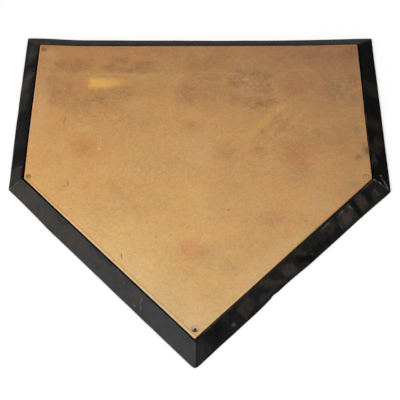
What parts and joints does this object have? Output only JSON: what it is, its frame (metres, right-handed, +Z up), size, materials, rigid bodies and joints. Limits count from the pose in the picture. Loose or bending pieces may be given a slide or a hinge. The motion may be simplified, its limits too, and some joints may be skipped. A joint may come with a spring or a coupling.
{
  "type": "baseball home plate",
  "caption": "Pentagonal baseball home plate: a worn tan rubber slab screwed into a black bevelled rubber tray that is bolted to a plywood board.",
  "frame": {"origin": "on the ground under the middle of the plate's bounding box, on the plane of symmetry", "axes": "+Z up; +Y towards the straight front edge that faces the pitcher, with the rear point at -Y; +X to the right seen from behind the point"},
  "size_m": [0.4762, 0.4842, 0.0159],
  "materials": {
    "slab_rubber": "white rubber stained tan by clay, matt, scuffed",
    "border_rubber": "black moulded rubber, dusty and worn grey at the edges",
    "plywood": "plain plywood, sanded",
    "screw_steel": "zinc-plated steel, rusted brown",
    "nut_steel": "zinc-plated steel, dull"
  },
  "bodies": {
    "root": {"top_slab": "slab_rubber", "bevelled_base": "border_rubber", "filler_board": "plywood", "corner_screw_front_left": "screw_steel", "corner_screw_front_right": "screw_steel", "corner_screw_left_shoulder": "screw_steel", "corner_screw_right_shoulder": "screw_steel", "corner_screw_point": "screw_steel", "tie_bolt_front_left": "screw_steel", "tie_bolt_front_right": "screw_steel", "tie_bolt_rear_left": "screw_steel", "tie_bolt_rear_right": "screw_steel", "tie_bolt_point": "screw_steel", "tee_nut_front_left": "nut_steel", "tee_nut_front_right": "nut_steel", "tee_nut_rear_left": "nut_steel", "tee_nut_rear_right": "nut_steel", "tee_nut_point": "nut_steel"}
  },
  "joints": []
}
